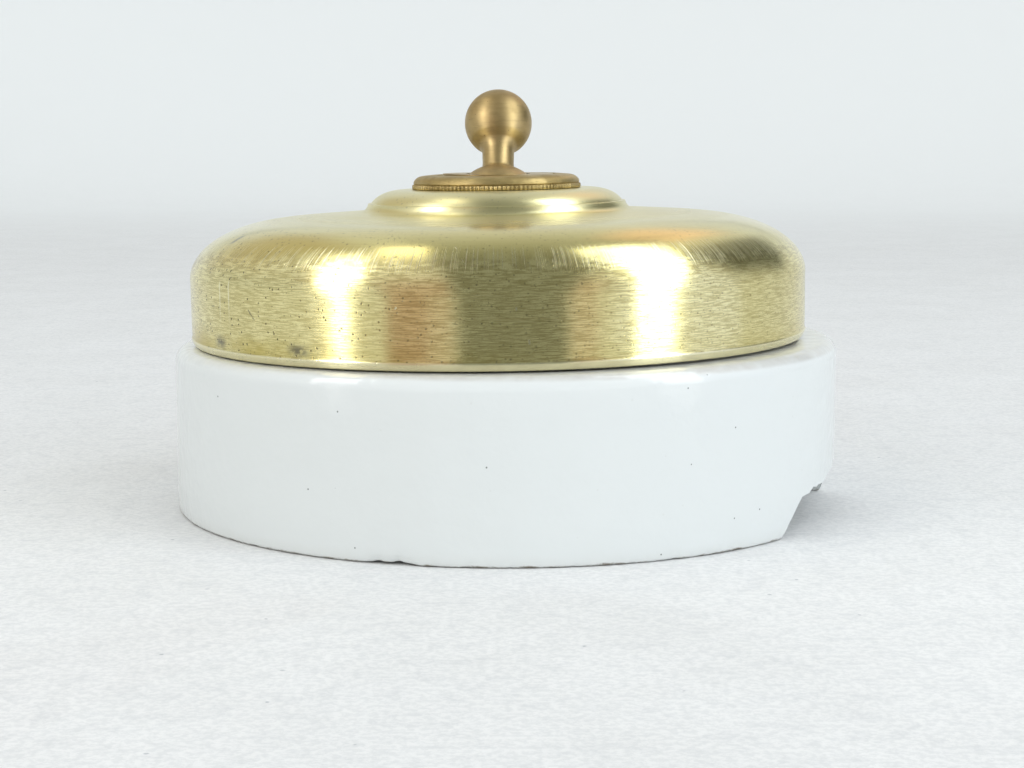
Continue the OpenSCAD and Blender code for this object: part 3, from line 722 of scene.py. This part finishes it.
def make_stage():
    """A pale cloth floor that curves up into a pale backdrop, far from the object."""
    profile = [(0, 0), (60, 0), (200, 0), (450, 0), (FLOOR_FLAT, 0)]
    profile += arc(FLOOR_FLAT, FLOOR_BEND, FLOOR_BEND, FLOOR_BEND, -85, 0, 18)
    profile += [(FLOOR_FLAT + FLOOR_BEND, FLOOR_WALL)]
    floor = lathe("studio_floor", profile, 128, closed=False)
    bm = bmesh.new()
    bm.from_mesh(floor.data)
    for face in bm.faces:
        if face.normal.z < -0.1:
            face.normal_flip()
    bm.to_mesh(floor.data)
    bm.free()
    p = Paint("pale cloth")
    nap = p.noise(1500, 4.0, 0.7)
    grain = p.noise(420, 3.0, 0.6)
    lint = p.specks(300, 0.075, share=0.16, ragged=0.0006)
    tone = p.mix(p.ramp(p.noise(55, 4.0, 0.6), 0.3, 0.7), FLOOR_LOW, FLOOR_HIGH)
    tone = p.mix(p.ramp(nap, 0.40, 0.60, 0.0, 0.26), tone, (0.50, 0.52, 0.53))
    tone = p.mix(p.ramp(grain, 0.45, 0.70, 0.0, 0.18), tone, (0.50, 0.52, 0.54))
    tone = p.mix(p.times(lint, 0.55), tone, (0.30, 0.32, 0.36))
    depth = p.add("ShaderNodeSeparateXYZ", {0: p.coords}).outputs[1]
    tone = p.mix(p.ramp(depth, 0.35, 1.0), tone, BACKDROP)
    p.set(Base_Color=tone, Roughness=0.9, Normal=p.bump(nap, 0.00015, 0.4))
    floor.data.materials.append(p.mat)
    floor.location.z = -FLOOR_GAP * MM


def glow(name, colour, strength):
    mat = bpy.data.materials.new(name)
    mat.use_nodes = True
    tree = mat.node_tree
    tree.nodes.clear()
    shine = tree.nodes.new("ShaderNodeEmission")
    shine.inputs["Color"].default_value = (*colour, 1)
    shine.inputs["Strength"].default_value = strength
    out = tree.nodes.new("ShaderNodeOutputMaterial")
    tree.links.new(shine.outputs[0], out.inputs[0])
    return mat


def only_reflected(obj):
    """Keeps a card out of the picture itself and out of the diffuse light."""
    obj.visible_camera = False
    obj.visible_diffuse = False
    obj.visible_shadow = False
    obj.visible_transmission = False


def make_shade(name, side, rise, colour, soft=4.0, top_soft=25.0, low_soft=1.0, radius=120):
    """A soft-edged patch of a ball around the object, seen only in reflections.

    side is the angle left and right of the YZ plane, rise the angle from -Y up and over the top.
    """
    def spot(q, t):
        q, t = math.radians(q), math.radians(t)
        way = Vector((math.sin(q), -math.cos(q) * math.cos(t), math.cos(q) * math.sin(t)))
        return way * radius * MM

    steps = 24
    bm = bmesh.new()
    rows = []
    for i in range(steps + 1):
        q = side[0] + (side[1] - side[0]) * i / steps
        rows.append([bm.verts.new(spot(q, rise[0] + (rise[1] - rise[0]) * j / steps))
                     for j in range(steps + 1)])
    for i in range(steps):
        for j in range(steps):
            bm.faces.new([rows[i][j], rows[i + 1][j], rows[i + 1][j + 1], rows[i][j + 1]])
    mesh = finished_mesh(bm, name)
    shade = add_object(name, mesh)
    p = Paint(name)
    part = p.add("ShaderNodeSeparateXYZ", {0: p.coords})
    x, y, z = part.outputs
    q = p.math("DEGREES", p.math("ARCSINE", p.math("DIVIDE", x, radius * MM)))
    t = p.math("DEGREES", p.math("ARCTAN2", z, p.times(y, -1.0)))
    left_edge = p.ramp(q, side[0], side[0] + soft)
    right_edge = p.ramp(q, side[1] - soft, side[1], 1.0, 0.0)
    cover = p.times(left_edge, right_edge)
    cover = p.times(cover, p.ramp(t, rise[1] - top_soft, rise[1], 1.0, 0.0))
    cover = p.times(cover, p.ramp(t, rise[0], rise[0] + low_soft))
    clear = p.add("ShaderNodeBsdfTransparent").outputs[0]
    shine = p.add("ShaderNodeEmission", {"Color": colour, "Strength": 1.0}).outputs[0]
    both = p.add("ShaderNodeMixShader", {0: cover, 1: clear, 2: shine}).outputs[0]
    p.tree.links.new(both, p.tree.nodes["Material Output"].inputs["Surface"])
    p.tree.nodes.remove(p.shader)
    mesh.materials.append(p.mat)
    only_reflected(shade)


LAMP_AIM = (0, 0, 20)
RIBBON_AIM = (0, -25, 25)


def make_lamp(name, place, size, light, colour):
    """A soft rectangular lamp that faces the object; reflections show its ribbon instead."""
    lamp_data = bpy.data.lights.new(name, "AREA")
    lamp_data.shape = "RECTANGLE"
    lamp_data.size, lamp_data.size_y = size[0] * MM, size[1] * MM
    lamp_data.energy = light * math.pi * size[0] * size[1] * MM * MM
    lamp_data.color = colour
    lamp = bpy.data.objects.new(name, lamp_data)
    bpy.context.scene.collection.objects.link(lamp)
    lamp.location = Vector(place) * MM
    aim = Vector(LAMP_AIM) - Vector(place)
    lamp.rotation_euler = aim.to_track_quat("-Z", "Y").to_euler()
    lamp.visible_glossy = False
    lamp.visible_camera = False


def make_ribbon(name, path, colour, strength):
    """A glowing strip through (x, y, z, width) points in millimetres, seen only in reflections."""
    bm = bmesh.new()
    rows = []
    centre = Vector(RIBBON_AIM)
    for i, (x, y, z, width) in enumerate(path):
        here = Vector((x, y, z))
        before = Vector(path[max(i - 1, 0)][:3])
        after = Vector(path[min(i + 1, len(path) - 1)][:3])
        across = (after - before).cross(centre - here).normalized() * width / 2
        rows.append([bm.verts.new((here - across) * MM), bm.verts.new((here + across) * MM)])
    for a, b in zip(rows, rows[1:]):
        bm.faces.new([a[0], b[0], b[1], a[1]])
    mesh = finished_mesh(bm, name)
    ribbon = add_object(name, mesh)
    mesh.materials.append(glow(name + "_glow", colour, strength))
    only_reflected(ribbon)


SKY_COLOUR = (0.96, 0.985, 0.99)
SKY_STRENGTH = 0.81
CAMERA_PLACE = (0.68, -216.0, 41.0)
CAMERA_DOWN = 7.46
CAMERA_LENS = 69.3


def make_world():
    world = bpy.data.worlds.new("studio")
    bpy.context.scene.world = world
    world.use_nodes = True
    sky = world.node_tree.nodes["Background"]
    sky.inputs["Color"].default_value = (*SKY_COLOUR, 1)
    sky.inputs["Strength"].default_value = SKY_STRENGTH


def make_camera():
    """In front of the switch and a little above it, looking slightly down."""
    lens = bpy.data.cameras.new("camera")
    lens.sensor_width = 36
    lens.lens = CAMERA_LENS
    lens.clip_start = 0.005
    lens.clip_end = 20
    camera = bpy.data.objects.new("camera", lens)
    bpy.context.scene.collection.objects.link(camera)
    camera.location = Vector(CAMERA_PLACE) * MM
    camera.rotation_euler = (math.radians(90 - CAMERA_DOWN), 0, 0)
    bpy.context.scene.camera = camera


# ---------------------------------------------------------------- build

COOL = (0.93, 0.98, 1.0)
WARM = (1.0, 0.965, 0.90)

make_camera()
make_world()
make_stage()

# lamps light the surfaces; ribbons and shades are what the brass mirrors
make_lamp("left_lamp", (-560, -300, 520), (170, 800), 2.3, WARM)
make_lamp("right_lamp", (540, -280, 560), (280, 900), 2.6, (0.90, 0.97, 1.05))
make_lamp("front_left_lamp", (-430, -640, 260), (420, 320), 1.2, WARM)
make_lamp("front_right_lamp", (430, -640, 260), (420, 320), 1.9, COOL)
make_ribbon("left_ribbon", [(-88, -80, 6.5, 9), (-87, -70, 40, 11), (-83, -59, 66, 24),
                            (-80, -50, 84, 30), (-66, -24, 101, 24), (-60, -12, 105, 14)],
            (1.0, 0.98, 0.96), 6.0)
make_ribbon("left_top_ribbon", [(-35, -8, 111, 15), (-33, 6, 112, 17), (-30, 28, 110, 14)],
            (1.0, 0.95, 0.80), 2.7)
make_ribbon("right_ribbon", [(87, -79, 6.5, 26), (85, -69, 40, 27), (80.5, -54, 80, 32),
                             (59, -18, 105, 38), (30, 12, 110, 28)], COOL, 5.5)
make_shade("left_halo", (-54, -42), (0, 60), (1.7, 1.8, 1.9), soft=3, radius=123)
make_shade("camera_side", (-15, 23), (-5, 138), (0.26, 0.275, 0.25), top_soft=64, radius=120)
make_shade("warm_left", (-34, -11.5), (-5, 60), (0.53, 0.41, 0.355), soft=3, radius=121)
make_shade("warm_right", (17, 33), (-5, 55), (0.60, 0.50, 0.45), soft=6, radius=122)
make_shade("cool_right", (34, 88), (-5, 85), (0.84, 0.91, 1.12), soft=6, radius=130)
make_shade("far_right", (28, 64), (80, 142), (0.12, 0.13, 0.11), soft=7, top_soft=9, low_soft=12,
           radius=122)
make_shade("left_back", (-54, -16), (97, 152), (0.62, 0.57, 0.44), soft=10, top_soft=22, low_soft=12,
           radius=124)
make_shade("warm_overhead", (8, 29), (108, 141), (1.20, 0.92, 0.78), soft=8, top_soft=14, low_soft=10,
           radius=123)
make_ribbon("camera_floor", [(2.5, -46, 0.6, 20), (9.7, -120, 0.6, 72)], (0.23, 0.24, 0.22), 1.0)
make_ribbon("warm_floor", [(-16, -47, 0.5, 17), (-48, -109, 0.5, 46)], (0.46, 0.34, 0.28), 1.0)

make_base()
make_cover()
ring_brass = old_brass("ring brass", (0.48, 0.37, 0.165), (0.32, 0.24, 0.10), 0.46, pits=0.35)
make_ring(ring_brass)
dolly_brass = old_brass("dolly brass", (0.47, 0.35, 0.165), (0.37, 0.27, 0.125), 0.43, pits=0.12)
make_dolly(dolly_brass)

part_brass = old_brass("small part brass", (0.60, 0.46, 0.21), (0.44, 0.33, 0.15), 0.32)
neck_brass = old_brass("neck brass", (0.52, 0.40, 0.19), (0.38, 0.28, 0.13), 0.34)
steel = drawn_steel("pin steel", (0.52, 0.52, 0.50))
spring_steel = drawn_steel("spring steel", (0.40, 0.40, 0.41))
carried = {
    "cover_liner": fibre(), "bridge_frame": part_brass, "neck_bush": neck_brass,
    "dolly_pin": steel, "toggle_spring": spring_steel, "spring_plunger": part_brass,
    "rocker": ebonite("ebonite", (0.012, 0.010, 0.009), (0.03, 0.022, 0.018), 0.32),
    "rocker_pin": steel, "rocker_spacers": part_brass, "moving_contact": copper(),
    "contact_rivets": part_brass, "fixed_contact_left": part_brass,
    "fixed_contact_right": part_brass, "terminal_left": part_brass, "terminal_right": part_brass,
    "clamp_screw_left": part_brass, "clamp_screw_right": part_brass,
    "terminal_fixing_screws": part_brass, "bridge_screws": part_brass,
    "bridge_washers": part_brass, "bridge_nuts": part_brass,
    "sealing_plugs": ebonite("sealing compound", (0.010, 0.007, 0.005), (0.035, 0.022, 0.015), 0.45),
}
for node_name, material in carried.items():
    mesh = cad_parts[node_name].data
    mesh.materials.clear()
    mesh.materials.append(material)

bpy.context.scene.view_settings.view_transform = "Standard"
